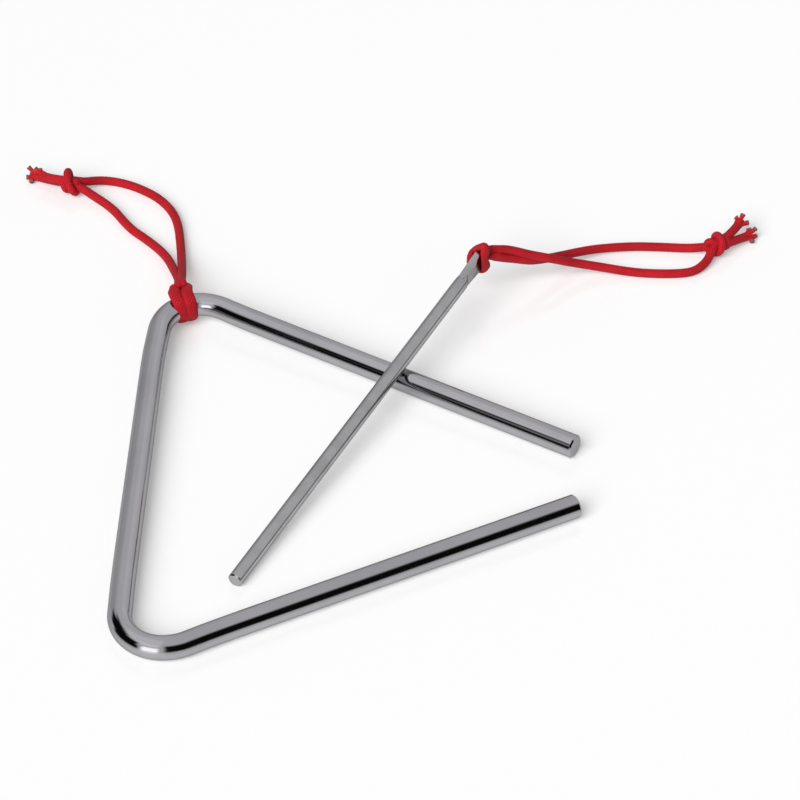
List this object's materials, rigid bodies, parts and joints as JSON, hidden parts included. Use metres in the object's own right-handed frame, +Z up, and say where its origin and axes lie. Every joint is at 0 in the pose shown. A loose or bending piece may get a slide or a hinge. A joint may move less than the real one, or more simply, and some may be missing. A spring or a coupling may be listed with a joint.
{
  "type": "percussion triangle with beater",
  "caption": "Struck percussion triangle bent from chromed round rod, with a braided red hanging loop, and a steel beater with a matching cord loop resting across it.",
  "frame": {"origin": "on the table, under the middle of the box round the triangle rod and the beater rod", "axes": "+X towards the triangle's open corner, +Y along its closed leg, away from the viewer, +Z up"},
  "size_m": [0.2635, 0.2653, 0.0228],
  "materials": {
    "chrome": "polished",
    "steel": "satin",
    "red_cord": "braided"
  },
  "bodies": {
    "triangle": {"triangle_rod": "chrome"},
    "holder_cord": {"holder_hitch": "red_cord", "holder_strand_right": "red_cord", "holder_strand_left": "red_cord", "holder_knot": "red_cord", "holder_tail_top": "red_cord", "holder_tail_under": "red_cord"},
    "beater": {"beater_rod": "steel"},
    "beater_cord": {"beater_hitch": "red_cord", "beater_strand_near": "red_cord", "beater_strand_far": "red_cord", "beater_knot": "red_cord", "beater_tail_raised": "red_cord", "beater_tail_low": "red_cord"}
  },
  "joints": [
    {"name": "holder_swing", "type": "hinge", "parent": "triangle", "child": "holder_cord", "pos_m": [-0.06115, 0.07689, 0.00645], "axis": [0.9272, 0.3746, -0.0022], "range_deg": [0, 150]},
    {"name": "beater_lift", "type": "slide", "parent": "triangle", "child": "beater", "axis": [0, 0, 1], "range_m": [0, 0.1]},
    {"name": "beater_cord_swing", "type": "hinge", "parent": "beater", "child": "beater_cord", "pos_m": [0.04058, 0.09555, 0.01724], "axis": [0.9011, -0.4337, 0], "range_deg": [0, 50]}
  ]
}
